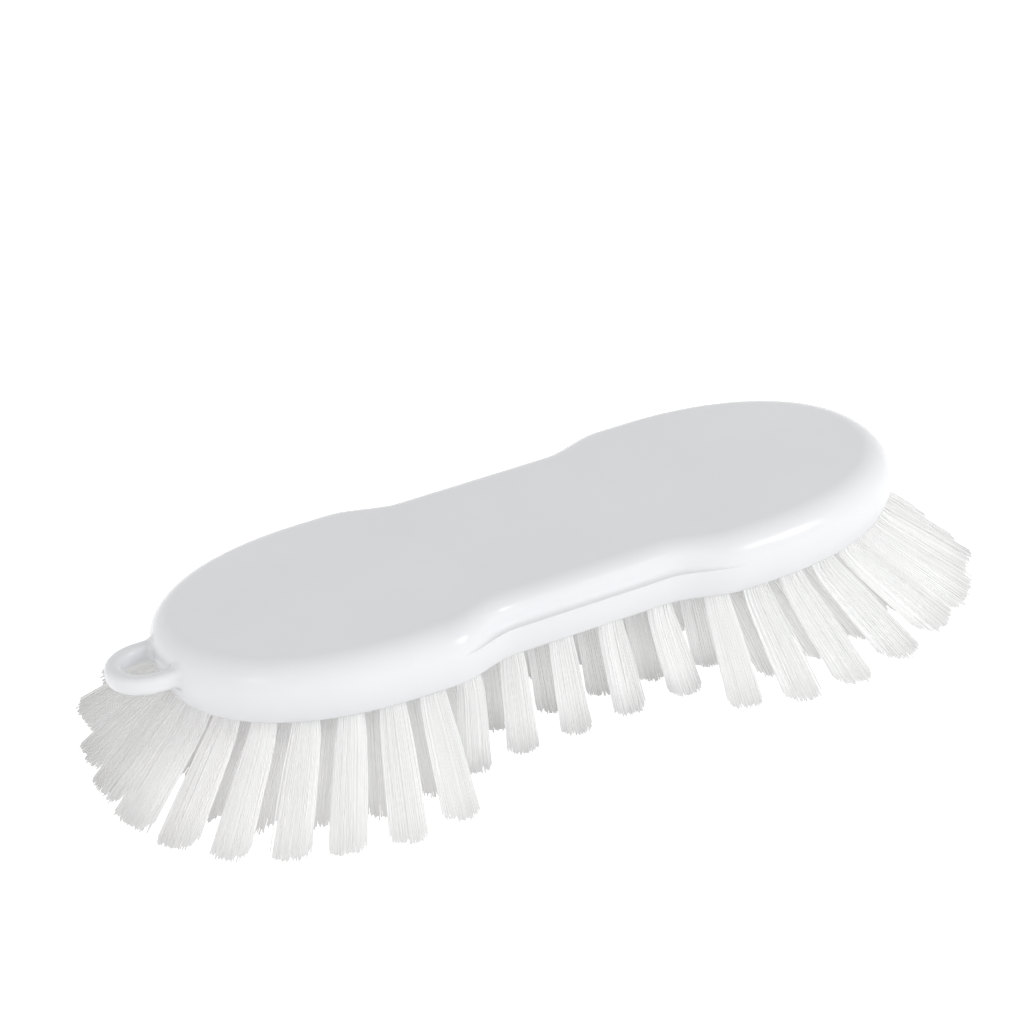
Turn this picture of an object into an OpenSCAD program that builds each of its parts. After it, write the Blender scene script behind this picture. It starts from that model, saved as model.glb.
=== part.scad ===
// Hand scrub brush with a waisted block, finger grips, a hanging loop and fanned tufts.
// The brush stands on its bristle tips at z = 0, centred on the block, loop towards -X.

/* [Block] */
// Length of the block without its hanging loop
block_len = 190; // [165:1:230]
// Width across a lobe
lobe_w = 78; // [74:1:96]
// Width across the waist
waist_w = 68; // [56:1:72]
// Thickness of the block
block_h = 15; // [12.5:0.5:20]
// Distance from the block's end back to the lobe's widest place
lobe_reach = 50; // [42:1:60]
// Fullness of the end curve: 2 is an ellipse and more is squarer
end_fullness = 2.15; // [2:0.05:2.6]
// Distance from the middle to the start of a shoulder
shoulder_start = 20; // [14:0.5:24]
// Length of a shoulder along the block
shoulder_len = 17; // [12:0.5:21]
// Radius of the round along the top edge
top_round = 7; // [3:0.5:7]
// Radius of the small round along the bottom edge
foot_round = 0.8; // [0.4:0.1:1.2]
// How far the underside is set in from the widest outline
under_inset = 2; // [0.5:0.25:3]

/* [Finger grips] */
// Height of the ledge above the underside, where the block is widest
ledge_h = 8; // [5:0.5:8.5]
// Depth of the grip over its ledge
grip_depth = 1.7; // [0:0.1:2.5]
// Radius of the cove between the ledge and the grip's wall
cove_r = 1.4; // [0.6:0.1:2]
// How much further than the waist the grip runs into a shoulder
grip_run = 3; // [0:0.5:5]

/* [Hanging loop] */
// Width across the loop
loop_w = 20; // [15:0.5:22]
// How far the loop reaches beyond the block
loop_reach = 13; // [13:0.5:20]
// Height of the loop's middle above the underside
loop_z = 8.6; // [6:0.1:9]
// Width of the loop's bar
bar_w = 4.1; // [3.4:0.1:5]
// Height of the loop's bar
bar_h = 4.5; // [3.4:0.1:5]
// Radius along the bar's edges
bar_round = 1.6; // [0.5:0.1:1.6]
// Radius of the cove where the loop's legs meet the block
loop_flare = 2; // [0.5:0.1:2.2]

/* [Tufts] */
// Trimmed height of the bristles under the block
trim_h = 26; // [20:0.5:36]
// Length of a filament that leans too far to be trimmed
filament_len = 33.5; // [24:0.5:44]
// Distance from the underside's edge to the middle of the outer row
edge_gap = 4.6; // [4.4:0.1:7]
// Spacing of the tufts along the waist
waist_pitch = 13; // [10:0.5:14]
// Spacing of the tufts round a lobe in the outer row
outer_pitch = 9.8; // [8:0.1:12]
// Spacing of the tufts round a lobe in the inner rows
inner_pitch = 9.8; // [9:0.1:14]
// Outward lean of the tufts along the waist, in degrees
waist_lean = 3; // [0:1:6]
// Outward lean of the tufts at the ends, in degrees
fan_lean = 47; // [30:1:56]
// Radius to the outer strands at the tip of an upright tuft
tip_spread = 2.7; // [2:0.1:3]
// Radius to the outer strands at the tip of a fully leaning tuft
fan_spread = 3.7; // [2:0.1:4]
// Radius round one strand at its tip
strand_r = 0.95; // [0.6:0.05:1]

/* [Tuft holes and staples] */
// Diameter of a tuft's hole
hole_d = 5.2; // [4.6:0.1:5.6]
// Depth of a tuft's hole along its own axis
hole_depth = 9; // [7:0.5:10]
// Share of a tuft's lean that its hole has
hole_lean_share = 0.55; // [0:0.05:0.7]
// Thickness of the backing slice that carries the tufts
bed_t = 1; // [0.8:0.1:1.6]
// Width of the block's rim round the backing slices
rim_w = 1.4; // [1:0.1:1.7]
// Gap all round what seats in the block
fit = 0.15; // [0.05:0.05:0.2]
// Height of the flat wire that holds a folded tuft
staple_h = 1.8; // [1.2:0.1:2.4]
// Thickness of the flat wire
staple_t = 0.4; // [0.3:0.05:0.6]
// Thickness of the fold over the wire
fold_h = 1.3; // [0.8:0.1:2]

/* [Hidden] */
$fn = 48;
block_color = [0.93, 0.94, 0.95];
bristle_color = [0.96, 0.96, 0.94];
wire_color = [0.68, 0.69, 0.71];

// Outline of the block, for one quarter from the middle of the waist to the nose
lobe_x = block_len / 2 - lobe_reach;
side_steps = 14;
end_steps = 15;
wall_steps = 5;
foot_steps = 3;
cove_steps = 4;
round_steps = 9;
level_gap = 0.2;
blend_power = 5;
bar_steps = 5;
flare_steps = 5;
flare_sink = 0.2;

// Rows of tufts, outer, second and core, as insets from the widest outline: the core lies
// on the waist's middle line, and the second row half way to it
first_inset = under_inset + edge_gap;
row_gap = (waist_w / 2 - first_inset) / 2;
row_inset = [for (k = [0:2]) first_inset + k * row_gap];
row_share = [1, 0.72, 0.4];
row_strands = [6, 4, 4];
lobe_start = 2.5 * waist_pitch;
zone_split = 2 * waist_pitch;
fan_start = 2.15 * waist_pitch;
fan_ease = 0.3;
turn_start = 2.6 * waist_pitch;
fan_turn = 0.73;
core_push = 2.7;
on_axis = 0.01;
far = 2 * block_len;

// One strand, in three steps from the backing slice to its cut end
root_spread = 1.65;
root_r = 0.7;
knee_h = 4;
trim_cut = 0.5;

root_d = hole_d - 2 * fit;
root_len = hole_depth - fit;
staple_w = hole_d - 2 * fit;
staple_z = root_len - fold_h - staple_h / 2;
pocket_inset = under_inset + rim_w;
vault_slack = 0.02;
loop_root = 3;

function ease(t) =
    let (c = min(max(t, 0), 1))
    c * c * (3 - 2 * c);

// Share of the way from the waist to a lobe at x, for a shoulder that starts later by run
function shoulder(x, run = 0) = ease((x - shoulder_start - run) / shoulder_len);

// The larger of two insets, with a soft edge between them
function blended(a, b) = pow(pow(a, blend_power) + pow(b, blend_power), 1 / blend_power);

// Half width of the waist and shoulder at x, hollowed by a grip of the given depth
function side_y(x, inset, grip) =
    let (hollow = grip * (1 - shoulder(x, grip_run)))
    waist_w / 2 + shoulder(x) * (lobe_w - waist_w) / 2 - blended(inset, hollow);

function end_point(a, inset) = [
    lobe_x + (lobe_reach - inset) * pow(sin(a), 2 / end_fullness),
    (lobe_w / 2 - inset) * pow(cos(a), 2 / end_fullness)
];

function quarter(inset, grip = 0) = concat(
    [for (i = [0:side_steps - 1])
        let (x = lobe_x * i / side_steps)
        [x, side_y(x, inset, grip)]],
    [for (i = [0:end_steps]) end_point(90 * i / end_steps, inset)]
);

// Closed outline made of four mirrored quarters
function outline(inset, grip = 0) =
    let (q = quarter(inset, grip), n = len(q) - 1)
    concat(
        [for (i = [0:n - 1]) [q[i][0], -q[i][1]]],
        [for (i = [n:-1:1]) q[i]],
        [for (i = [0:n - 1]) [-q[i][0], q[i][1]]],
        [for (i = [n:-1:1]) [-q[i][0], -q[i][1]]]
    );

// Inset of the side wall at a height over the underside
function foot_inset(z) =
    z >= foot_round ? 0 : foot_round * (1 - sqrt(1 - pow(1 - z / foot_round, 2)));
function under_cut(z) = z >= ledge_h ? 0 : under_inset * pow(1 - z / ledge_h, 2);
function top_inset(z) =
    let (t = (z - block_h + top_round) / top_round)
    t <= 0 ? 0 : top_round * (1 - sqrt(max(0, 1 - t * t)));
function wall_inset(z) = foot_inset(z) + under_cut(z) + top_inset(z);

// Depth of the grip at a height: a cove from the ledge up to an upright wall
function grip_at(z) =
    let (t = min(max((z - ledge_h) / cove_r, 0), 1))
    grip_depth * sqrt(1 - pow(1 - t, 2));

level_z = concat(
    [for (i = [0:foot_steps]) foot_round * (1 - cos(90 * i / foot_steps))],
    [for (i = [1:wall_steps]) foot_round + (ledge_h - foot_round) * i / wall_steps],
    [for (i = [1:cove_steps]) ledge_h + cove_r * (1 - cos(90 * i / cove_steps))],
    [for (i = [0:round_steps])
        let (z = block_h - top_round * (1 - sin(90 * i / round_steps)))
        if (z > ledge_h + cove_r + level_gap) z]
);

// A closed shell through one ring of points for each level, with a fan over each end
module loft(rings, low_z, high_z) {
    n = len(rings[0]);
    last = len(rings) - 1;
    points = concat([for (r = rings) each r], [[0, 0, low_z], [0, 0, high_z]]);
    low_c = n * (last + 1);
    walls = [for (k = [0:last - 1], i = [0:n - 1])
        let (j = (i + 1) % n, a = k * n + i, b = k * n + j)
        each [[a, a + n, b + n], [a, b + n, b]]];
    caps = [for (i = [0:n - 1])
        let (j = (i + 1) % n)
        each [[low_c, i, j], [low_c + 1, last * n + j, last * n + i]]];
    polyhedron(points, concat(walls, caps));
}

module block_body() {
    rings = [for (z = level_z)
        [for (p = outline(wall_inset(z), grip_at(z))) [p[0], p[1], z]]];
    translate([0, 0, trim_h]) loft(rings, 0, block_h);
}

// Rows of tufts

function path_lengths(q, i = 0, sum = 0) =
    i == len(q) - 1 ? [sum]
    : concat([sum], path_lengths(q, i + 1, sum + norm(q[i + 1] - q[i])));

function along(q, s, d) =
    [lookup(d, [for (i = [0:len(q) - 1]) [s[i], q[i][0]]]),
     lookup(d, [for (i = [0:len(q) - 1]) [s[i], q[i][1]]])];

// Points round one quarter of a lobe, the last of them half a step short of the nose
function lobe_points(k, pitch) =
    let (
        q = quarter(row_inset[k]),
        s = path_lengths(q),
        first = lookup(lobe_start, [for (i = [0:len(q) - 1]) [q[i][0], s[i]]]),
        run = s[len(s) - 1] - first,
        count = round(run / pitch - 0.5),
        step = run / (count + 0.5)
    )
    [for (i = [0:count]) along(q, s, first + i * step)];

// A point of a row at x, along the waist or its shoulder
function waist_point(k, x) = [x, side_y(x, row_inset[k], 0)];

function quarter_row(k, pitch) = concat(
    [for (i = [0:1]) waist_point(k, (i + 0.5) * waist_pitch)],
    lobe_points(k, pitch)
);
outer_quarter = quarter_row(0, outer_pitch);
second_quarter = quarter_row(1, inner_pitch);

// The core is a single line that opens to a pair of lines in each lobe
core_nose = block_len / 2 - row_inset[2] + core_push;
core_steps = max(2, round((core_nose - lobe_start) / inner_pitch));
core_quarter = concat(
    [for (i = [0:1]) [(i + 0.5) * waist_pitch, 0]],
    [for (i = [0:core_steps])
        let (single = i == 0 || i == core_steps)
        [lobe_start + (core_nose - lobe_start) * i / core_steps,
         single ? 0 : inner_pitch / 2]]
);

// A quarter and its mirror images, with what lies on an axis taken once
function mirrored(q) = [for (p = q, sx = [1, -1], sy = [1, -1])
    if ((p[0] > on_axis || sx > 0) && (p[1] > on_axis || sy > 0))
    [sx * p[0], p[1] > on_axis ? sy * p[1] : 0]];

row_tufts = [mirrored(outer_quarter), mirrored(second_quarter), mirrored(core_quarter)];
nose_first = len(outer_quarter) - 2;
nose_split = (outer_quarter[nose_first][1] + outer_quarter[nose_first - 1][1]) / 2;

function inside(p, xr, yr) =
    p[0] > xr[0] && p[0] < xr[1] && p[1] > yr[0] && p[1] < yr[1];
function tufts_in(k, xr, yr) = [for (p = row_tufts[k]) if (inside(p, xr, yr)) p];

// Where a tuft leans to, and how far: to the side at the waist, and more to the end in a lobe
function lean_dir(p) =
    let (
        turn = on_axis + fan_turn * max(abs(p[0]) - turn_start, 0),
        v = [p[0] < 0 ? -turn : turn, p[1]]
    )
    v / norm(v);
function lean_of(p, k) =
    let (t = (abs(p[0]) - fan_start) / (block_len / 2 - fan_start))
    row_share[k] * (waist_lean + (fan_lean - waist_lean) * pow(min(max(t, 0), 1), fan_ease));
function hole_lean(p, k) = hole_lean_share * lean_of(p, k);

// Moves what is drawn up the Z axis into a tuft's hole, from the middle of its mouth
module at_hole(p, k) {
    d = lean_dir(p);
    translate([p[0], p[1], trim_h])
        rotate([0, 0, atan2(d[1], d[0])])
            rotate([0, -hole_lean(p, k), 0])
                children();
}

// Flat zone of the backing for one row, cut to a box with a gap to its neighbours
module row_zone(k) {
    first = k == 0 ? pocket_inset + fit : row_inset[k] - row_gap / 2 + fit;
    difference() {
        polygon(outline(first));
        if (k < 2)
            polygon(outline(row_inset[k] + row_gap / 2));
    }
}

module bed_zone(k, xr, yr) {
    intersection() {
        row_zone(k);
        translate([xr[0] + fit, yr[0] + fit])
            square([xr[1] - xr[0] - 2 * fit, yr[1] - yr[0] - 2 * fit]);
    }
}

// The folded bundle in its hole, vaulted over the staple, with the staple's slot
module tuft_root(p, k) {
    vault_z = root_len - root_d / 2;
    at_hole(p, k) difference() {
        intersection() {
            translate([0, 0, -root_d])
                cylinder(d = root_d, h = root_len + root_d);
            rotate([90, 0, 0]) linear_extrude(2 * root_d, center = true) {
                translate([0, vault_z]) circle(d = root_d + vault_slack);
                translate([-root_d, -2 * root_d]) square([2 * root_d, 2 * root_d + vault_z]);
            }
        }
        translate([0, 0, staple_z])
            cube([staple_t + 2 * fit, 2 * hole_d, staple_h + 2 * fit], center = true);
    }
}

// One three-sided strand: root in the slice, a knee under it, and the cut end
module strand(p, k, out, turn) {
    lean = lean_of(p, k);
    bent = hole_lean(p, k);
    d = lean_dir(p);
    side = [-d[1], d[0]];
    drop = min(trim_h + trim_cut, filament_len * cos(lean));
    heights = [bed_t / 2, -knee_h, -drop];
    shifts = [-bed_t / 2 * tan(bent), knee_h * tan(bent), drop * tan(lean)];
    stretch = [1 / cos(bent), 1 / cos(bent), 1 / cos(lean)];
    knee = knee_h / drop;
    tip = tip_spread + (fan_spread - tip_spread) * lean / fan_lean;
    spreads = [root_spread, root_spread + (tip - root_spread) * knee, tip];
    radii = [root_r, root_r + (strand_r - root_r) * knee, strand_r];
    points = [for (m = [0:2], c = [0:2])
        let (
            a = turn + 120 * c,
            u = out * spreads[m] * cos(turn) + radii[m] * cos(a),
            v = out * spreads[m] * sin(turn) + radii[m] * sin(a),
            xy = p + d * (shifts[m] + u * stretch[m]) + side * v
        )
        [xy[0], xy[1], trim_h + heights[m]]];
    walls = [for (m = [0, 1], c = [0:2])
        let (a = 3 * m + c, b = 3 * m + (c + 1) % 3)
        each [[a, b, b + 3], [a, b + 3, a + 3]]];
    polyhedron(points, concat(walls, [[0, 2, 1], [6, 7, 8]]));
}

module tuft_strands(p, k) {
    if (k == 0)
        strand(p, k, 0, 90);
    for (i = [0:row_strands[k] - 1])
        strand(p, k, 1, 360 * (i + 0.5) / row_strands[k]);
}

// Everything under a height
module below(z) translate([-far, -far, z - far]) cube([2 * far, 2 * far, far]);

// Tufts of one row in one zone, fused to their slice of the backing
module tuft_group(k, xr, yr) {
    group = tufts_in(k, xr, yr);
    color(bristle_color) difference() {
        union() {
            translate([0, 0, trim_h])
                linear_extrude(bed_t) bed_zone(k, xr, yr);
            difference() {
                union() {
                    for (p = group) tuft_root(p, k);
                }
                below(trim_h);
            }
            for (p = group) tuft_strands(p, k);
        }
        below(0);
    }
}

module staples(k) {
    color(wire_color)
        for (p = row_tufts[k])
            at_hole(p, k) translate([0, 0, staple_z])
                cube([staple_t, staple_w, staple_h], center = true);
}

// The hanging loop: a rounded bar whose legs end in a cove that follows the block's wall

function bar_outline(grow) =
    let (w = bar_w / 2 - bar_round, h = bar_h / 2 - bar_round, r = bar_round + grow)
    [for (c = [0:3], i = [0:bar_steps])
        let (
            a = 90 * (c + i / bar_steps),
            sx = c == 0 || c == 3 ? 1 : -1,
            sy = c < 2 ? 1 : -1
        )
        [sx * w + r * cos(a), sy * h + r * sin(a)]];

// How far along X the block's end lies, at a distance to the side of its middle line
function nose_x(y, inset) =
    let (side = pow(y / (lobe_w / 2 - inset), end_fullness))
    lobe_x + (lobe_reach - inset) * pow(1 - side, 1 / end_fullness);

module loop_leg(arc_x, r) {
    start = [for (p = bar_outline(0)) [p[0], p[1], 0]];
    cove = [for (i = [0:flare_steps])
        let (a = 90 * i / flare_steps)
        [for (p = bar_outline(loop_flare * (1 - cos(a))))
            let (wall = -nose_x(r + p[0], wall_inset(loop_z + p[1])) - arc_x)
            [p[0], p[1], wall + flare_sink - loop_flare * (1 - sin(a))]]];
    root = [for (p = bar_outline(loop_flare)) [p[0], p[1], loop_reach + loop_root]];
    translate([0, r, 0]) rotate([90, 0, 90])
        loft(concat([start], cove, [root]), 0, loop_reach + loop_root);
}

module hanging_loop() {
    r = (loop_w - bar_w) / 2;
    arc_x = -block_len / 2 - loop_reach + loop_w / 2;
    translate([arc_x, 0, trim_h + loop_z]) {
        rotate([0, 0, 90])
            rotate_extrude(angle = 180) translate([r, 0]) polygon(bar_outline(0));
        loop_leg(arc_x, r);
        mirror([0, 1, 0]) loop_leg(arc_x, r);
    }
}

module brush_block() {
    color(block_color) difference() {
        union() {
            block_body();
            hanging_loop();
        }
        translate([0, 0, trim_h - 1])
            linear_extrude(1 + bed_t + fit) polygon(outline(pocket_inset));
        for (k = [0:2], p = row_tufts[k])
            at_hole(p, k) translate([0, 0, -hole_d])
                cylinder(d = hole_d, h = hole_depth + hole_d);
    }
}

// Zones: the middle band of an axis lies between the splits, for side 0, and its ends beyond
function band(side, split) =
    side == 0 ? [-split, split]
    : side > 0 ? [split, far]
    : [-far, -split];

module outer_zone(sx, sy) {
    tuft_group(0, band(sx, zone_split), band(sy, sx == 0 ? 0 : nose_split));
}

module second_zone(sx, sy) {
    tuft_group(1, band(sx, zone_split), band(sy, 0));
}

module core_zone(sx) {
    tuft_group(2, band(sx, zone_split), [-far, far]);
}

module outer_tufts_left_nose() outer_zone(-1, 0);
module outer_tufts_left_front() outer_zone(-1, -1);
module outer_tufts_left_back() outer_zone(-1, 1);
module outer_tufts_waist_front() outer_zone(0, -1);
module outer_tufts_waist_back() outer_zone(0, 1);
module outer_tufts_right_nose() outer_zone(1, 0);
module outer_tufts_right_front() outer_zone(1, -1);
module outer_tufts_right_back() outer_zone(1, 1);
module second_tufts_left_front() second_zone(-1, -1);
module second_tufts_left_back() second_zone(-1, 1);
module second_tufts_waist_front() second_zone(0, -1);
module second_tufts_waist_back() second_zone(0, 1);
module second_tufts_right_front() second_zone(1, -1);
module second_tufts_right_back() second_zone(1, 1);
module core_tufts_left() core_zone(-1);
module core_tufts_waist() core_zone(0);
module core_tufts_right() core_zone(1);
module outer_staples() staples(0);
module second_staples() staples(1);
module core_staples() staples(2);

brush_block();
outer_tufts_left_nose();
outer_tufts_left_front();
outer_tufts_left_back();
outer_tufts_waist_front();
outer_tufts_waist_back();
outer_tufts_right_nose();
outer_tufts_right_front();
outer_tufts_right_back();
second_tufts_left_front();
second_tufts_left_back();
second_tufts_waist_front();
second_tufts_waist_back();
second_tufts_right_front();
second_tufts_right_back();
core_tufts_left();
core_tufts_waist();
core_tufts_right();
outer_staples();
second_staples();
core_staples();
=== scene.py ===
import math

import bpy
import numpy as np
from mathutils import Matrix, Vector


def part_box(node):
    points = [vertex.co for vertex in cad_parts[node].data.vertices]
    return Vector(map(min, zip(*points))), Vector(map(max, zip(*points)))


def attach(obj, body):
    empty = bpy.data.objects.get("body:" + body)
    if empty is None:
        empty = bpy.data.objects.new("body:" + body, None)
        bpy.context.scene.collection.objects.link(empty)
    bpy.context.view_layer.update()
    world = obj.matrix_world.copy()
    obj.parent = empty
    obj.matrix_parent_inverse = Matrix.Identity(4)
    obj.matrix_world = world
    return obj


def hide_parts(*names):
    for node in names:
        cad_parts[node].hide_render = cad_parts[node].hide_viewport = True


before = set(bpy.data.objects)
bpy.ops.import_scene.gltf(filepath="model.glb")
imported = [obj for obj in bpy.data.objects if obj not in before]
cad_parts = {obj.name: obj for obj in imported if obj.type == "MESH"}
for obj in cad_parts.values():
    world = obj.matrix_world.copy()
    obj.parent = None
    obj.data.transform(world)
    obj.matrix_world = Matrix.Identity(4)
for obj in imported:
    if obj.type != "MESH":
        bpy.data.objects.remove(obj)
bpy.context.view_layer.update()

mm = 0.001
facing = 0.9        # part of a face's normal along an axis, from which on the face lies across it
nothing = 1e-9      # keeps a division by a length from failing

# Sizes that the pieces share, read off the frame
blockLow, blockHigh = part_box("brush_block")
underside = blockLow.z
blockTop = blockHigh.z
halfLength = blockHigh.x
halfWidth = blockHigh.y


def objectMode():
    bpy.ops.object.mode_set(mode="OBJECT")


def editMode():
    bpy.ops.object.mode_set(mode="EDIT")


def deselectAll():
    if bpy.context.object and bpy.context.object.mode != "OBJECT":
        objectMode()
    bpy.ops.object.select_all(action="DESELECT")


def pick(*pieces):  # the first one is made active
    deselectAll()
    for piece in pieces:
        piece.select_set(True)
    bpy.context.view_layer.objects.active = pieces[0]


def editAll(piece):
    pick(piece)
    editMode()
    bpy.ops.mesh.select_all(action="SELECT")


def selectFaces(piece, wanted):  # stays in edit mode, with only the wanted faces selected
    pick(piece)
    editMode()
    bpy.ops.mesh.select_mode(type="FACE")
    bpy.ops.mesh.select_all(action="DESELECT")
    objectMode()
    for face in piece.data.polygons:
        face.select = wanted(face)
    editMode()


def extrudeSelected():
    editMode()
    bpy.ops.mesh.extrude_region_move()
    objectMode()


def settle(piece):  # origin on the frame's, with turn and size in the mesh
    pick(piece)
    bpy.ops.object.transform_apply(location=True, rotation=True, scale=True)


def removePiece(piece):
    mesh = piece.data
    bpy.data.objects.remove(piece)
    bpy.data.meshes.remove(mesh)


def booleanWith(piece, other, operation):
    pick(piece)
    modifier = piece.modifiers.new(operation, "BOOLEAN")
    modifier.operation = operation
    modifier.solver = "EXACT"
    modifier.object = other
    bpy.ops.object.modifier_apply(modifier=modifier.name)
    removePiece(other)


def joinAll(pieces):
    pick(*pieces)
    bpy.ops.object.join()
    return bpy.context.object


def ease(t):  # from 0 to 1, level at both ends; takes a number or an array
    t = np.clip(t, 0, 1)
    return t * t * (3 - 2 * t)


def quarterTurn(step, steps):
    return math.pi / 2 * step / steps


# Where each tuft stands: its staple in the frame gives the axis of its hole

tuft = {
    "holeLeanShare": 0.55,       # a hole leans by this share of its tuft's lean
    "waistEnd": 26 * mm,         # tufts nearer than this to the middle are the waist's
    "noseHalfWidth": 17.85 * mm,
    "middleBand": 1 * mm,        # tufts nearer than this to the long middle line have no side
    "weld": 0.01 * mm,           # joins the corners of a staple's faces
}


def tuftZone(row, mouth):
    side = "waist"
    if abs(mouth.x) > tuft["waistEnd"]:
        side = "left" if mouth.x < 0 else "right"
    if row == "core":
        return f"core_tufts_{side}"
    if row == "outer" and side != "waist" and abs(mouth.y) < tuft["noseHalfWidth"]:
        return f"outer_tufts_{side}_nose"
    return f"{row}_tufts_{side}_{'front' if mouth.y < 0 else 'back'}"


def readTufts():
    tufts = []
    for row in ("outer", "second", "core"):
        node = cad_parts[f"{row}_staples"]
        copy = node.copy()
        copy.data = node.data.copy()
        bpy.context.scene.collection.objects.link(copy)
        editAll(copy)
        bpy.ops.mesh.remove_doubles(threshold=tuft["weld"])
        bpy.ops.mesh.separate(type="LOOSE")
        objectMode()
        for wire in list(bpy.context.selected_objects):
            corners = np.array([v.co for v in wire.data.vertices])
            centre = Vector(corners.mean(0))
            axis = Vector(np.linalg.eigh(np.cov(corners.T))[1][:, 1])  # its height, not its width
            axis *= math.copysign(1, axis.z)
            mouth = centre - axis * ((centre.z - underside) / axis.z)
            outward = Vector((-axis.x, -axis.y, 0)).normalized()
            tufts.append({"row": row, "mouth": mouth, "outward": outward,
                          "holeLean": math.acos(min(axis.z, 1)), "zone": tuftZone(row, mouth)})
            removePiece(wire)
    return sorted(tufts, key=lambda one: (one["row"], round(one["mouth"].x, 5),
                                          round(one["mouth"].y, 5)))


tufts = readTufts()
print("tufts read off the frame:", len(tufts))


# Block: one moulding with a waist, finger grips, blind tuft holes and a hanging loop

block = {
    "waistWidth": 68 * mm,
    "shoulderStart": 20 * mm,
    "shoulderLength": 17 * mm,
    "lobeReach": 50 * mm,        # from a lobe's widest place to its nose
    "endFullness": 2.15,         # 2 is an ellipse
    "topRound": 7 * mm,
    "footRound": 0.8 * mm,
    "underInset": 2 * mm,        # the wall draws in under the ledge
    "insetBlend": 5,             # how sharply the wall's inset gives way to the grip's
    "ledgeHeight": 8 * mm,
    "gripDepth": 1.7 * mm,
    "coveRadius": 1.4 * mm,
    "gripRun": 3 * mm,
    "sideSteps": 26,             # points along a quarter's waist and shoulder
    "endSteps": 30,              # points round a quarter's lobe
    "footSteps": 4,
    "wallSteps": 8,
    "coveSteps": 6,
    "roundSteps": 16,
    "levelGap": 0.1 * mm,        # two levels are never closer
    "flatBorder": 0.5 * mm,      # keeps the rounds' shading off the flat faces
    "weld": 0.001 * mm,
    "lastWeld": 0.002 * mm,      # after the loop is joined on and the holes are cut
    "sharpFrom": math.radians(38),
}

hole = {
    "width": 5.2 * mm,
    "depth": 9 * mm,
    "sides": 24,
    "endBevel": 1.2 * mm,
    "endBevelSteps": 2,
}

loop = {
    "width": 20 * mm,
    "height": 8.6 * mm,          # of its middle over the underside
    "barWidth": 4.1 * mm,
    "barHeight": 4.5 * mm,
    "barRound": 1.6 * mm,
    "barRoundSteps": 7,
    "bendSteps": 40,
    "flare": 2 * mm,             # radius of the cove where its legs meet the block's wall
    "flareSteps": 8,
    "flareSink": 0.2 * mm,
    "rootLength": 3 * mm,        # how far its legs run on into the block
    "endSlack": 0.1 * mm,        # finds the faces at the bend's ends
    "weld": 0.001 * mm,
}


def shoulderShare(x, run=0.0):
    return ease((x - block["shoulderStart"] - run) / block["shoulderLength"])


def outlinePoint(step, inset, grip):  # one quarter, from the middle of the waist to the nose
    lobeX = halfLength - block["lobeReach"]
    if step < block["sideSteps"]:
        x = lobeX * step / block["sideSteps"]
        hollow = grip * (1 - shoulderShare(x, block["gripRun"]))
        blend = block["insetBlend"]
        drawnIn = (inset ** blend + hollow ** blend) ** (1 / blend)
        waist = block["waistWidth"] / 2
        return x, waist + shoulderShare(x) * (halfWidth - waist) - drawnIn
    angle = math.pi / 2 * (step - block["sideSteps"]) / block["endSteps"]
    power = 2 / block["endFullness"]
    return (lobeX + (block["lobeReach"] - inset) * math.sin(angle) ** power,
            (halfWidth - inset) * max(math.cos(angle), 0.0) ** power)


def quarterRound(radius, share):  # how far a round has drawn in, from its end (0) to its start (1)
    return radius * (1 - math.sqrt(max(1 - (1 - min(max(share, 0), 1)) ** 2, 0)))


def wallInset(z):  # at a height over the underside
    underCut = block["underInset"] * max(1 - z / block["ledgeHeight"], 0) ** 2
    toTop = (blockTop - underside - z) / block["topRound"]
    return (quarterRound(block["footRound"], z / block["footRound"]) + underCut
            + quarterRound(block["topRound"], toTop))


def gripInset(z):  # a cove over the ledge, where the fingers lie
    share = (z - block["ledgeHeight"]) / block["coveRadius"]
    if share <= 0:
        return 0
    return block["gripDepth"] - quarterRound(block["gripDepth"], share)


def wallLevels():  # height over the underside, inset of the wall, inset of the grip
    foot, ledge, cove = block["footRound"], block["ledgeHeight"], block["coveRadius"]
    heights = []
    for i in range(block["footSteps"] + 1):
        heights.append(foot * (1 - math.cos(quarterTurn(i, block["footSteps"]))))
    for i in range(1, block["wallSteps"] + 1):
        heights.append(foot + (ledge - foot) * i / block["wallSteps"])
    for i in range(1, block["coveSteps"] + 1):
        heights.append(ledge + cove * (1 - math.cos(quarterTurn(i, block["coveSteps"]))))
    for i in range(block["roundSteps"] + 1):
        drop = block["topRound"] * (1 - math.sin(quarterTurn(i, block["roundSteps"])))
        z = blockTop - underside - drop
        if z > heights[-1] + block["levelGap"]:
            heights.append(z)
    return [(z, wallInset(z), gripInset(z)) for z in heights]


def shellPoint(column, level):
    quarterSteps = block["sideSteps"] + block["endSteps"]
    quarter, step = divmod(column % (4 * quarterSteps), quarterSteps)
    if quarter % 2:
        step = quarterSteps - step
    z, inset, grip = level
    x, y = outlinePoint(step, inset, grip)
    return (x if quarter < 2 else -x), (y if quarter in (1, 2) else -y), underside + z


def makeShell():
    levels = wallLevels()
    columns = 4 * (block["sideSteps"] + block["endSteps"])
    rows = len(levels) - 1
    deselectAll()
    bpy.ops.mesh.primitive_grid_add(x_subdivisions=columns, y_subdivisions=rows, size=2)
    shell = bpy.context.object
    for vertex in shell.data.vertices:
        column = round((vertex.co.x + 1) / 2 * columns)
        row = round((vertex.co.y + 1) / 2 * rows)
        vertex.co = shellPoint(column, levels[row])
    editAll(shell)
    bpy.ops.mesh.remove_doubles(threshold=block["weld"])
    bpy.ops.mesh.fill_holes(sides=0)
    bpy.ops.mesh.normals_make_consistent(inside=False)
    selectFaces(shell, lambda face: len(face.vertices) > 4)
    bpy.ops.mesh.inset(thickness=block["flatBorder"], depth=0)
    objectMode()
    return shell


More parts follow.
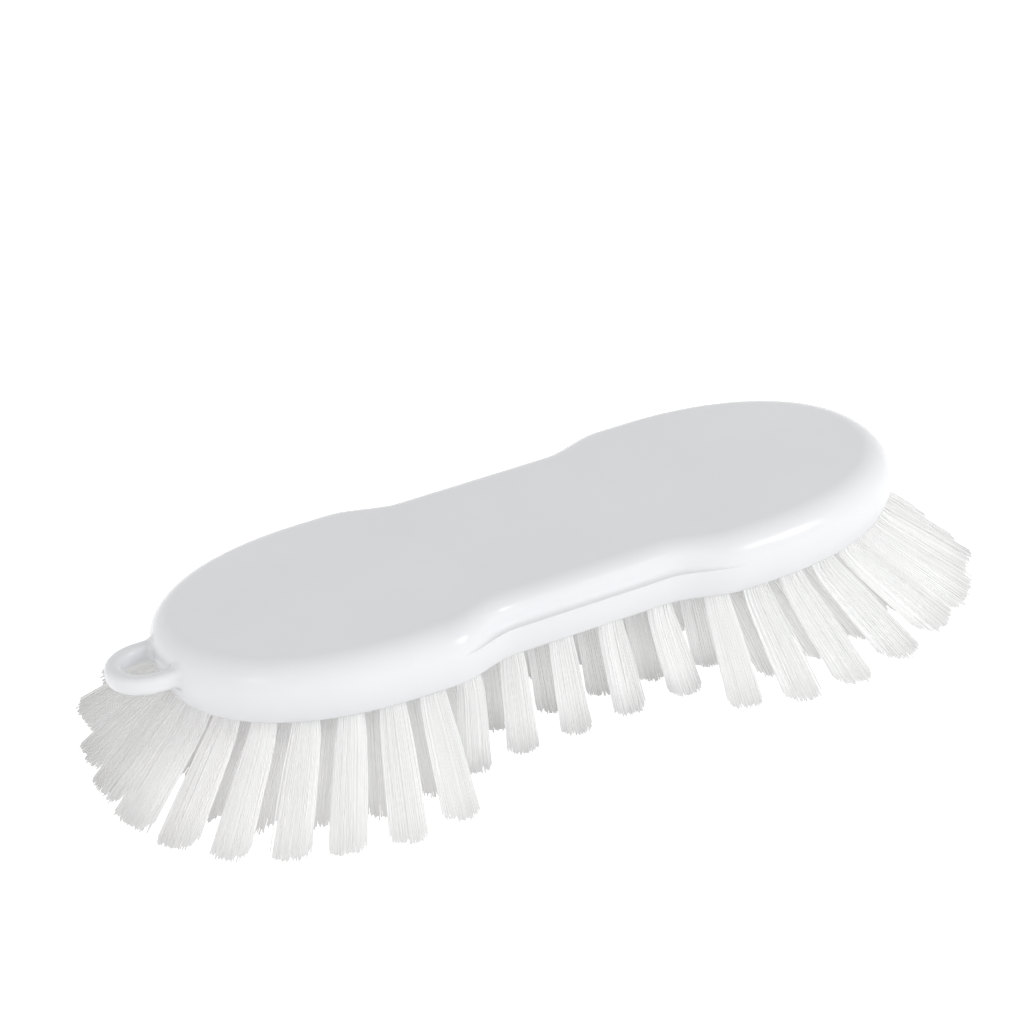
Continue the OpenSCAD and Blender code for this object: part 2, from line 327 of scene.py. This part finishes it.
def makeHoles():
    tools = []
    deselectAll()
    reach = hole["width"]        # how far each cutter sticks out under the block
    bpy.ops.mesh.primitive_cylinder_add(vertices=hole["sides"], radius=hole["width"] / 2,
                                        depth=hole["depth"] + reach, end_fill_type="NGON",
                                        location=(0, 0, (hole["depth"] - reach) / 2))
    cutter = bpy.context.object
    settle(cutter)
    selectFaces(cutter, lambda face: face.normal.z > facing)
    bpy.ops.mesh.bevel(offset=hole["endBevel"], segments=hole["endBevelSteps"])
    objectMode()
    for one in tufts:
        copy = cutter.copy()
        copy.data = cutter.data.copy()
        bpy.context.scene.collection.objects.link(copy)
        lean = one["holeLean"]
        axis = -one["outward"] * math.sin(lean) + Vector((0, 0, math.cos(lean)))
        turn = axis.to_track_quat("Z", "Y").to_matrix().to_4x4()
        copy.matrix_world = Matrix.Translation(one["mouth"]) @ turn
        settle(copy)
        tools.append(copy)
    removePiece(cutter)
    return joinAll(tools)


def noseX(y, inset):  # how far out the block's end lies, to the side of its middle line
    side = (abs(y) / (halfWidth - inset)) ** block["endFullness"]
    rounding = (1 - side) ** (1 / block["endFullness"])
    return halfLength - block["lobeReach"] + (block["lobeReach"] - inset) * rounding


def drawLeg(bar, height):  # from the selected end: a cove that follows the wall, then the root
    legSide = math.copysign(1, sum(face.center.y for face in bar.data.polygons if face.select))
    middle = Vector((0, legSide * (loop["width"] - loop["barWidth"]) / 2, height))
    flatY = loop["barWidth"] / 2 - loop["barRound"]
    flatZ = loop["barHeight"] / 2 - loop["barRound"]
    grown = 0
    for i in range(loop["flareSteps"] + 1):
        extrudeSelected()
        turn = quarterTurn(i, loop["flareSteps"])
        growth = loop["flare"] * (1 - math.cos(turn))
        back = loop["flare"] * (1 - math.sin(turn)) - loop["flareSink"]
        for vertex in bar.data.vertices:
            if vertex.select:
                away = Vector((0, vertex.co.y - middle.y, vertex.co.z - middle.z))
                corner = Vector((0, math.copysign(min(abs(away.y), flatY), away.y),
                                 math.copysign(min(abs(away.z), flatZ), away.z)))
                outward = (away - corner).normalized()
                vertex.co.y += outward.y * (growth - grown)
                vertex.co.z += outward.z * (growth - grown)
                vertex.co.x = -noseX(vertex.co.y, wallInset(vertex.co.z - underside)) - back
        grown = growth
    extrudeSelected()
    for vertex in bar.data.vertices:
        if vertex.select:
            vertex.co.x = -halfLength + loop["rootLength"]


def makeLoop():  # a rounded bar bent round half a turn, with legs that flare towards the block
    bend = (loop["width"] - loop["barWidth"]) / 2
    bendX = blockLow.x + loop["width"] / 2
    height = underside + loop["height"]
    deselectAll()
    bpy.ops.mesh.primitive_plane_add(size=1, location=(bendX, -bend, height),
                                     rotation=(0, math.pi / 2, 0))
    bar = bpy.context.object
    bar.scale = (loop["barHeight"], loop["barWidth"], 1)
    settle(bar)
    editAll(bar)
    bpy.ops.mesh.bevel(offset=loop["barRound"], segments=loop["barRoundSteps"],
                       affect="VERTICES")
    bpy.ops.mesh.select_all(action="SELECT")
    bpy.ops.mesh.spin(steps=loop["bendSteps"], angle=math.pi, center=(bendX, 0, height),
                      axis=(0, 0, 1))
    for side in (-1, 1):
        selectFaces(bar, lambda face: abs(face.normal.x) > facing and face.center.y * side > 0
                    and abs(face.center.x - bendX) < loop["endSlack"])
        objectMode()
        drawLeg(bar, height)
    editAll(bar)
    bpy.ops.mesh.remove_doubles(threshold=loop["weld"])
    bpy.ops.mesh.normals_make_consistent(inside=False)
    objectMode()
    return bar


def makeBlock():
    shell = makeShell()
    booleanWith(shell, makeLoop(), "UNION")
    booleanWith(shell, makeHoles(), "DIFFERENCE")
    shell.name = "block"
    editAll(shell)
    bpy.ops.mesh.remove_doubles(threshold=block["lastWeld"])
    objectMode()
    pick(shell)
    bpy.ops.object.shade_smooth_by_angle(angle=block["sharpFrom"])
    return shell


blockPiece = makeBlock()
print("block moulded:", len(blockPiece.data.polygons), "faces")


# Bristles: one filament, copied into every tuft

bristle = {
    "width": 0.36 * mm,
    "widthRange": (0.92, 1.06),  # of one filament, as a share of the width
    "sides": 4,
    "rings": (0.105, 0.15, 0.21, 0.3, 0.45, 0.7),    # shares of the length that get a ring
    "perTuft": {"outer": 230, "second": 190, "core": 150},
    "spotSpread": 0.97,          # how much of a bundle's round its filaments fill
    "spotJitter": 0.03,
    "tipJitter": 0.02,
    "inHole": 4 * mm,            # how deep the filaments start
    "bendLength": 8 * mm,        # over which they turn from the hole's lean to the tuft's
    "holeRadius": 2.4 * mm,      # of the bundle
    "uprightRadius": 4.1 * mm,   # of the bundle's tip, on an upright tuft
    "fanRadius": 4.9 * mm,       # the same on a fully leaning tuft
    "fullLean": math.radians(45),
    "greatestReach": 0.95,       # sine of the greatest lean
    "openingOut": 0.45,          # a bundle widens most just under its hole: 1 would be evenly
    "length": {"outer": 34.8 * mm, "second": 37 * mm, "core": 36 * mm},    # if it isn't trimmed
    "lineLength": 42 * mm,       # of a tuft's middle line, which the trimmer cuts
    "lineSteps": 140,
    "clumps": 9,
    "clumpPull": 0.12,           # how far a clump's filaments draw together at the tip
    "clumpRagged": 0.7,          # how much of the raggedness a clump's filaments share
    "ragged": 0.9 * mm,
    "trimRagged": 0.8,           # how much of it is left where the trimmer cuts
    "bow": 0.25 * mm,
    "wander": math.radians(1),
    "strays": 0.015,             # share of the filaments that stand out from their tuft
    "strayReach": 1.25,
    "rowShade": {"outer": 0.06, "second": 0.55, "core": 0.7},    # painted shade for the light that other rows keep off
    "tuftShade": 0.25,           # painted shade: how much more light reaches a tuft's outer side than its middle
    # tufts pointing this way, away from the lamps, get painted shade
    "awayFromLamps": np.array([-0.8, 0.6, 0]),
    "endShade": 0.45,            # painted shade: light that a tuft pointing straight that way doesn't get
    "streaks": 0.16,             # difference between one filament's tone and the next one's
    "seed": 7,
}

# How use has bent the tufts: the place of a tuft along the block, and how far its tip has moved
# along the block and across it, all in mm; in the inner rows, across is outward
bent = {
    "front": ((-88, 0, 0), (-84.9, 3.2, 3.2), (-78.7, 2.7, 2.3), (-70.6, 1.6, 2.2),
              (-61.5, 0, 0.6), (-42.2, 0, -1), (-32.5, -1, 12.6), (-19.5, -0.8, -1),
              (-6.5, 0.9, -1.6), (6.5, 2.8, -0.3), (19.5, 4.3, 0.5), (32.5, 0.5, -1),
              (51.9, 1, 0.8), (61.5, 4, 3.2), (70.6, 3.9, 5.6), (78.7, 3.2, 3.8),
              (84.9, 1.6, 5.4), (88, -0.8, 1.8)),
    "back": ((-88, 0.8, 2.2), (-84.9, -2.8, 0.3), (-78.7, -9.4, -3.4), (-70.6, -12.4, -1.2),
             (-61.5, -3, 0), (-51.9, 0, 0), (84.9, 0, 0), (88, -1.2, 0.7)),
    "second": ((-74, -5.8, 5.5), (-68.5, -5, 5.8), (-60.3, -3.6, 6.6), (-51.1, -2.2, 7.2),
               (-41.8, -1.4, 7.6), (-32.5, 0.5, 0.8), (-19.5, -1.6, 2.8), (-6.5, 0.3, 2.2),
               (6.5, 1, 2.8), (19.5, 1.3, 4.6), (32.5, 3, -6), (41.8, 1.6, 6), (51.1, 2.4, 6.6),
               (60.3, 4, 6), (74, 6.6, 3.4)),
    "core": ((-66, -6, 1), (-40, -3, 2), (-20, 0, 0), (20, 0, 0), (40, 3, 2), (66, 6, 1)),
}


def makeFilament():  # unit radius and length, standing on its root
    deselectAll()
    bpy.ops.mesh.primitive_cylinder_add(vertices=bristle["sides"], radius=1, depth=1,
                                        location=(0, 0, 0.5), end_fill_type="NGON")
    filament = bpy.context.object
    settle(filament)
    for share in bristle["rings"]:
        editAll(filament)
        bpy.ops.mesh.bisect(plane_co=(0, 0, share), plane_no=(0, 0, 1))
        objectMode()
    return filament


def bentBy(one):  # how far use has moved a tuft's tip
    x, y = one["mouth"].x, one["mouth"].y
    if one["row"] == "outer":
        places, along, across = zip(*bent["front" if y < 0 else "back"])
        side = 1
    else:
        places, along, across = zip(*bent[one["row"]])
        side = 0 if abs(y) < tuft["middleBand"] else math.copysign(1, y)
    x /= mm
    return np.array([np.interp(x, places, along), side * np.interp(x, places, across), 0]) * mm


def tuftHeading(one):  # the way a tuft points under its bend, and its lean
    outward = np.array(one["outward"])
    lean = one["holeLean"] / tuft["holeLeanShare"]
    longest = bristle["length"][one["row"]]
    drop = min(underside, longest * math.cos(lean))
    tip = outward * drop * math.tan(lean) + bentBy(one)
    reach = float(np.linalg.norm(tip))
    lean = math.atan2(reach, underside)
    if math.hypot(reach, underside) > longest:
        lean = math.asin(min(reach / longest, bristle["greatestReach"]))
    return tip / max(reach, nothing), lean


def wayAt(level, lean):  # downwards, leaning towards a level heading
    return level * math.sin(lean) - np.array([0, 0, math.cos(lean)])


def centreLine(one, heading, lean):  # points and frames along a tuft's middle, from inside its hole
    inHole = bristle["inHole"]
    lengths = np.linspace(0, inHole + bristle["lineLength"], bristle["lineSteps"])
    turned = ease((lengths - inHole) / bristle["bendLength"])[:, None]
    first = wayAt(np.array(one["outward"]), one["holeLean"])
    ways = first + (wayAt(heading, lean) - first) * turned
    ways /= np.linalg.norm(ways, axis=1)[:, None]
    strides = (ways[1:] + ways[:-1]) / 2 * lengths[1]
    points = np.concatenate([[np.zeros(3)], np.cumsum(strides, 0)])
    points += np.array(one["mouth"]) - [np.interp(inHole, lengths, points[:, i]) for i in range(3)]
    across = np.array([-heading[1], heading[0], 0])
    sides = across - ways * (ways @ across)[:, None]
    sides /= np.linalg.norm(sides, axis=1)[:, None]
    return lengths, points, np.cross(sides, ways), sides


def discPoints(count, draw):  # evenly spread over a disc of unit radius, a little jittered
    place = np.arange(count) + 0.5
    radius = np.sqrt(place / count) * bristle["spotSpread"]
    angle = place * math.pi * (3 - math.sqrt(5)) + draw.uniform(0, 2 * math.pi)
    points = np.stack([radius * np.cos(angle), radius * np.sin(angle)], 1)
    return points + draw.normal(0, bristle["spotJitter"], points.shape)


def turnBy(x, y, angle):
    cos, sin = np.cos(angle), np.sin(angle)
    return x * cos - y * sin, x * sin + y * cos


def makePaintedShadesAndTones(one, heading, spots, clump, draw):  # one for each filament of a tuft: painted shade from the other rows, the tuft's own side and the lamps' direction, with a random tone; 1 is full light
    away = max(heading @ bristle["awayFromLamps"], 0)
    shade = (bristle["rowShade"][one["row"]] + bristle["endShade"] * away ** 2
             - bristle["tuftShade"] * spots[:, 0])
    streak = (draw.uniform(0, 1, len(spots)) + draw.uniform(0, 1, bristle["clumps"])[clump]) / 2
    return 1 - shade.clip(0, 1) - bristle["streaks"] * streak


def tuftPoints(one, template, draw):  # every vertex of one tuft's filaments, and its painted shade and tone
    count, longest = bristle["perTuft"][one["row"]], bristle["length"][one["row"]]
    heading, lean = tuftHeading(one)
    lean += draw.normal(0, bristle["wander"])
    heading = np.array([*turnBy(heading[0], heading[1], draw.normal(0, bristle["wander"])), 0])
    lengths, points, ups, sides = centreLine(one, heading, lean)
    fanned = min(max(lean / bristle["fullLean"], 0), 1)
    tipRadius = (bristle["uprightRadius"]
                 + (bristle["fanRadius"] - bristle["uprightRadius"]) * fanned)

    spots = discPoints(count, draw)
    heads = discPoints(bristle["clumps"], draw)
    clump = np.argmin(((spots[:, None] - heads[None]) ** 2).sum(2), 1)
    clumpReach = draw.uniform(-1, 1, bristle["clumps"])[clump]
    tips = (spots + (heads[clump] - spots) * bristle["clumpPull"]
            + draw.normal(0, bristle["tipJitter"], spots.shape))
    stray = draw.uniform(0, 1, count) < bristle["strays"]
    tips *= np.where(stray, bristle["strayReach"], 1)[:, None]
    bowing = draw.normal(0, bristle["bow"] / 2, spots.shape)

    def spotAt(along):  # how far each filament lies from the tuft's middle, two ways
        opened = ((along - bristle["inHole"]) / longest).clip(0) ** bristle["openingOut"]
        return [spots[:, None, i] * bristle["holeRadius"] * (1 - opened)
                + tips[:, None, i] * tipRadius * opened for i in (0, 1)]

    # A filament ends at its full length or where the trimmer cuts it, whichever comes first
    up, side = spotAt(lengths[None])
    height = points[None, :, 2] + up * ups[None, :, 2] + side * sides[None, :, 2]
    ownRagged = draw.uniform(-0.5, 0.5, count)
    ragged = bristle["ragged"] * (bristle["clumpRagged"] * clumpReach + ownRagged)
    trim = np.abs(ragged) * bristle["trimRagged"] + bristle["width"] / 2
    cut = np.array([np.interp(-trim[i], -height[i], lengths) for i in range(count)])
    ends = np.minimum(cut, bristle["inHole"] + longest + ragged - bristle["ragged"])

    along = template[None, :, 2] * ends[:, None]
    up, side = spotAt(along)
    sag = np.sin(np.pi * template[None, :, 2])
    thick = bristle["width"] / 2 * draw.uniform(*bristle["widthRange"], count)[:, None]
    roll = draw.uniform(0, 2 * math.pi, count)[:, None]
    cornerUp, cornerSide = turnBy(template[None, :, 0], template[None, :, 1], roll)
    up = up + bowing[:, None, 0] * sag + thick * cornerUp
    side = side + bowing[:, None, 1] * sag + thick * cornerSide
    placed = np.stack([np.interp(along, lengths, points[:, i])
                       + up * np.interp(along, lengths, ups[:, i])
                       + side * np.interp(along, lengths, sides[:, i]) for i in range(3)], 2)
    paintedShadesAndTones = makePaintedShadesAndTones(one, heading, spots, clump, draw)
    return placed.reshape(-1, 3), np.repeat(paintedShadesAndTones, len(template))


def fillMesh(piece, template, faces, points, paintedShadeAndTone):
    mesh = piece.data
    copies = len(points) // len(template)
    sizes = np.array([len(face) for face in faces])
    corners = np.concatenate([np.array(face) for face in faces])
    loops = (corners[None] + np.arange(copies)[:, None] * len(template)).ravel()
    starts = np.concatenate([[0], np.cumsum(np.tile(sizes, copies))[:-1]])
    mesh.vertices.add(len(points))
    mesh.loops.add(len(loops))
    mesh.polygons.add(len(sizes) * copies)
    mesh.vertices.foreach_set("co", points.astype(np.float32).ravel())
    mesh.loops.foreach_set("vertex_index", loops.astype(np.int32))
    mesh.polygons.foreach_set("loop_start", starts.astype(np.int32))
    mesh.update(calc_edges=True)
    paintedShadesAndTones = mesh.attributes.new("paintedShadeAndTone", "FLOAT", "POINT")
    paintedShadesAndTones.data.foreach_set("value", paintedShadeAndTone.astype(np.float32))
    mesh.validate()


def makeTufts():
    filament = makeFilament()
    template = np.array([v.co for v in filament.data.vertices])
    faces = [list(face.vertices) for face in filament.data.polygons]
    draw = np.random.default_rng(bristle["seed"])
    made = {}
    for one in tufts:
        made.setdefault(one["zone"], []).append(tuftPoints(one, template, draw))
    pieces = []
    for zone, parts in made.items():
        name = f"bristles_{zone.replace('_tufts', '')}"
        piece = bpy.data.objects.new(name, bpy.data.meshes.new(zone))
        bpy.context.scene.collection.objects.link(piece)
        points, paintedShadeAndTone = (np.concatenate(values) for values in zip(*parts))
        fillMesh(piece, template, faces, points, paintedShadeAndTone)
        pick(piece)
        bpy.ops.object.shade_smooth()
        # Real filaments pass light on many times over: here each is lit as if it stood alone, and
        # shade painted into the filaments' colour stands in for the shade among the tufts
        piece.visible_shadow = False
        piece.visible_diffuse = False
        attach(piece, "root")
        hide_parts(zone)
        pieces.append(piece)
    removePiece(filament)
    return pieces


bristlePieces = makeTufts()
print("bristles set:", sum(len(piece.data.polygons) for piece in bristlePieces), "faces")

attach(blockPiece, "root")
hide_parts("brush_block")


# Materials

def newSocket(group, name, direction, kind):
    group.interface.new_socket(name=name, in_out=direction, socket_type=kind)


def makeUnevenGroup():  # slow tone and fine pits, for any moulded, drawn or cut surface
    group = bpy.data.node_groups.new("unevenSurface", "ShaderNodeTree")
    newSocket(group, "Vector", "INPUT", "NodeSocketVector")
    nodes, links = group.nodes, group.links
    source = nodes.new("NodeGroupInput")
    result = nodes.new("NodeGroupOutput")
    for part, detail in (("Broad", 2), ("Fine", 4)):
        newSocket(group, f"{part} Scale", "INPUT", "NodeSocketFloat")
        newSocket(group, f"{part} Mask", "OUTPUT", "NodeSocketFloat")
        noise = nodes.new("ShaderNodeTexNoise")
        noise.inputs["Detail"].default_value = detail
        links.new(source.outputs["Vector"], noise.inputs["Vector"])
        links.new(source.outputs[f"{part} Scale"], noise.inputs["Scale"])
        links.new(noise.outputs["Fac"], result.inputs[f"{part} Mask"])
    return group


uneven = makeUnevenGroup()


def mixColours(nodes, links, mask, low, high):
    mix = nodes.new("ShaderNodeMix")
    mix.data_type = "RGBA"
    mix.inputs["A"].default_value = (*low, 1)
    mix.inputs["B"].default_value = (*high, 1)
    links.new(mask, mix.inputs["Factor"])
    return mix.outputs["Result"]


def spread(nodes, links, mask, low, high, fromLow=0.0, fromHigh=1.0):
    ranged = nodes.new("ShaderNodeMapRange")
    ranged.inputs["From Min"].default_value = fromLow
    ranged.inputs["From Max"].default_value = fromHigh
    ranged.inputs["To Min"].default_value = low
    ranged.inputs["To Max"].default_value = high
    links.new(mask, ranged.inputs["Value"])
    return ranged.outputs["Result"]


def addBump(nodes, links, shader, height, strength, distance):
    bump = nodes.new("ShaderNodeBump")
    bump.inputs["Strength"].default_value = strength
    bump.inputs["Distance"].default_value = distance
    links.new(height, bump.inputs["Height"])
    links.new(bump.outputs["Normal"], shader.inputs["Normal"])


def startMaterial(name, look):  # roughness from the fine mask; the colour is each material's own
    material = bpy.data.materials.new(name)
    material.use_nodes = True
    nodes, links = material.node_tree.nodes, material.node_tree.links
    places = nodes.new("ShaderNodeTexCoord")
    surface = nodes.new("ShaderNodeGroup")
    surface.node_tree = uneven
    surface.inputs["Broad Scale"].default_value = look["broadScale"]
    surface.inputs["Fine Scale"].default_value = look["fineScale"]
    links.new(places.outputs["Object"], surface.inputs["Vector"])
    shader = nodes["Principled BSDF"]
    rough = spread(nodes, links, surface.outputs["Fine Mask"], *look["roughness"], *look["noise"])
    links.new(rough, shader.inputs["Roughness"])
    return material, surface, shader


# "noise" is the part of a noise's values that is spread over the whole range
blockLook = {
    "broadScale": 28,
    "fineScale": 160,
    "dark": (0.770, 0.775, 0.795),
    "light": (0.792, 0.797, 0.815),
    "roughness": (0.19, 0.25),
    "noise": (0.3, 0.7),
    "bump": 0.12,
    "bumpHeight": 0.4 * mm,
}

bristleLook = {
    "broadScale": 90,
    "fineScale": 700,
    # dark is a filament's colour in full painted shade, light its colour in full light
    "dark": (0.62, 0.614, 0.61),
    "light": (0.985, 0.983, 0.980),
    "roughness": (0.3, 0.45),
    "noise": (0.3, 0.7),
}

stapleLook = {
    "broadScale": 400,
    "fineScale": 4000,
    "dark": (0.56, 0.57, 0.59),
    "light": (0.70, 0.71, 0.72),
    "roughness": (0.25, 0.45),
    "noise": (0, 1),
}


def makeBlockMaterial():
    material, surface, shader = startMaterial("mouldedWhite", blockLook)
    nodes, links = material.node_tree.nodes, material.node_tree.links
    broad = surface.outputs["Broad Mask"]
    share = spread(nodes, links, broad, 0, 1, *blockLook["noise"])
    colour = mixColours(nodes, links, share, blockLook["dark"], blockLook["light"])
    links.new(colour, shader.inputs["Base Color"])
    shader.inputs["IOR"].default_value = 1.49
    addBump(nodes, links, shader, broad, blockLook["bump"], blockLook["bumpHeight"])
    return material


def makeBristleMaterial():
    material, _, shader = startMaterial("whiteFilament", bristleLook)
    nodes, links = material.node_tree.nodes, material.node_tree.links
    # the colour goes from dark to light by an attribute that holds painted shade among the tufts
    # and each filament's random tone
    paintedShadeAndTone = nodes.new("ShaderNodeAttribute")
    paintedShadeAndTone.attribute_name = "paintedShadeAndTone"
    colour = mixColours(nodes, links, paintedShadeAndTone.outputs["Fac"], bristleLook["dark"],
                        bristleLook["light"])
    links.new(colour, shader.inputs["Base Color"])
    shader.inputs["IOR"].default_value = 1.53
    return material


def makeStapleMaterial():
    material, surface, shader = startMaterial("drawnWire", stapleLook)
    nodes, links = material.node_tree.nodes, material.node_tree.links
    broad = surface.outputs["Broad Mask"]
    colour = mixColours(nodes, links, broad, stapleLook["dark"], stapleLook["light"])
    links.new(colour, shader.inputs["Base Color"])
    shader.inputs["Metallic"].default_value = 1
    return material


def dress(piece, material):
    piece.data.materials.clear()
    piece.data.materials.append(material)


dress(blockPiece, makeBlockMaterial())
bristleMaterial = makeBristleMaterial()
for piece in bristlePieces:
    dress(piece, bristleMaterial)
stapleMaterial = makeStapleMaterial()
for row in ("outer", "second", "core"):
    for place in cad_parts[f"{row}_staples"].material_slots:
        place.material = stapleMaterial
print("materials given")


# Camera, floor and light

camera = {
    "place": Vector((-283.7, -656.8, 401.0)) * mm,
    "yaw": math.radians(-23.11),
    "pitch": math.radians(26.51),
    "roll": math.radians(-6.68),
    "lens": 118.1,
    "sensor": 36,
    "sees": 50,                  # metres
}

studio = {
    "floorSize": 8,
    "floorColour": 0.9,
    "floorGlow": 0.55,           # seen by the camera and in reflections only
    "zenithLight": 0.42,
    "horizonLight": 3.1,         # falls off steeply towards the zenith
    "horizonFall": 3,
    "lamps": (                   # from where, how far, how wide in metres, and power in watts
        (Vector((0.53, -0.68, 0.46)), 1.5, 0.45, 4.5),
        (Vector((-0.75, -0.35, 0.55)), 1.5, 0.12, 0.7),
    ),
}


def makeCamera():
    yaw, pitch, roll = camera["yaw"], camera["pitch"], camera["roll"]
    ahead = Vector((-math.sin(yaw) * math.cos(pitch), math.cos(yaw) * math.cos(pitch),
                    -math.sin(pitch)))
    level = Vector((math.cos(yaw), math.sin(yaw), 0))
    upright = level.cross(ahead)
    right = math.cos(roll) * level + math.sin(roll) * upright
    up = math.cos(roll) * upright - math.sin(roll) * level
    lens = bpy.data.cameras.new("photoCamera")
    lens.lens = camera["lens"]
    lens.sensor_width = camera["sensor"]
    lens.clip_end = camera["sees"]
    holder = bpy.data.objects.new("photoCamera", lens)
    turn = Matrix((right, up, -ahead)).transposed().to_4x4()
    holder.matrix_world = Matrix.Translation(camera["place"]) @ turn
    bpy.context.scene.collection.objects.link(holder)
    bpy.context.scene.camera = holder


def seenDirectly(nodes, links):  # 1 for the camera, reflections and what shows through, else 0
    path = nodes.new("ShaderNodeLightPath")
    total = path.outputs["Is Camera Ray"]
    for other in ("Is Glossy Ray", "Is Transmission Ray"):
        both = nodes.new("ShaderNodeMath")
        both.operation = "MAXIMUM"
        links.new(total, both.inputs[0])
        links.new(path.outputs[other], both.inputs[1])
        total = both.outputs[0]
    return total


def makeFloor():
    deselectAll()
    bpy.ops.mesh.primitive_plane_add(size=studio["floorSize"])
    floor = bpy.context.object
    floor.name = "floor"
    material = bpy.data.materials.new("paleFloor")
    material.use_nodes = True
    nodes, links = material.node_tree.nodes, material.node_tree.links
    nodes.clear()
    output = nodes.new("ShaderNodeOutputMaterial")
    matt = nodes.new("ShaderNodeBsdfDiffuse")
    matt.inputs["Color"].default_value = (studio["floorColour"],) * 3 + (1,)
    glow = nodes.new("ShaderNodeEmission")
    glow.inputs["Color"].default_value = (1, 1, 1, 1)
    strength = nodes.new("ShaderNodeMath")
    strength.operation = "MULTIPLY"
    strength.inputs[1].default_value = studio["floorGlow"]
    links.new(seenDirectly(nodes, links), strength.inputs[0])
    links.new(strength.outputs[0], glow.inputs["Strength"])
    both = nodes.new("ShaderNodeAddShader")
    links.new(matt.outputs[0], both.inputs[0])
    links.new(glow.outputs[0], both.inputs[1])
    side = nodes.new("ShaderNodeNewGeometry")
    clear = nodes.new("ShaderNodeBsdfTransparent")
    oneSided = nodes.new("ShaderNodeMixShader")  # the floor is clear from below
    links.new(side.outputs["Backfacing"], oneSided.inputs[0])
    links.new(both.outputs[0], oneSided.inputs[1])
    links.new(clear.outputs[0], oneSided.inputs[2])
    links.new(oneSided.outputs[0], output.inputs["Surface"])
    dress(floor, material)


def makeSky():  # a low light tent: bright along the horizon, dimmer overhead
    world = bpy.data.worlds.new("tent")
    bpy.context.scene.world = world
    world.use_nodes = True
    nodes, links = world.node_tree.nodes, world.node_tree.links
    background = nodes["Background"]
    places = nodes.new("ShaderNodeTexCoord")
    split = nodes.new("ShaderNodeSeparateXYZ")
    links.new(places.outputs["Generated"], split.inputs[0])
    low = spread(nodes, links, split.outputs["Z"], 1, 0)
    steep = nodes.new("ShaderNodeMath")
    steep.operation = "POWER"
    links.new(low, steep.inputs[0])
    steep.inputs[1].default_value = studio["horizonFall"]
    glow = spread(nodes, links, steep.outputs[0], studio["zenithLight"], studio["horizonLight"])
    strength = nodes.new("ShaderNodeMix")
    links.new(seenDirectly(nodes, links), strength.inputs["Factor"])
    links.new(glow, strength.inputs["A"])
    strength.inputs["B"].default_value = 1
    links.new(strength.outputs["Result"], background.inputs["Strength"])
    background.inputs["Color"].default_value = (1, 1, 1, 1)


def makeLamps():
    for i, (place, distance, size, power) in enumerate(studio["lamps"]):
        light = bpy.data.lights.new(f"lamp{i}", "AREA")
        light.shape = "DISK"
        light.size = size
        light.energy = power
        holder = bpy.data.objects.new(f"lamp{i}", light)
        towards = place.normalized()
        holder.location = towards * distance
        holder.rotation_euler = towards.to_track_quat("Z", "Y").to_euler()
        bpy.context.scene.collection.objects.link(holder)


makeCamera()
makeFloor()
makeSky()
makeLamps()
bpy.context.scene.view_settings.view_transform = "Standard"
print("studio set")
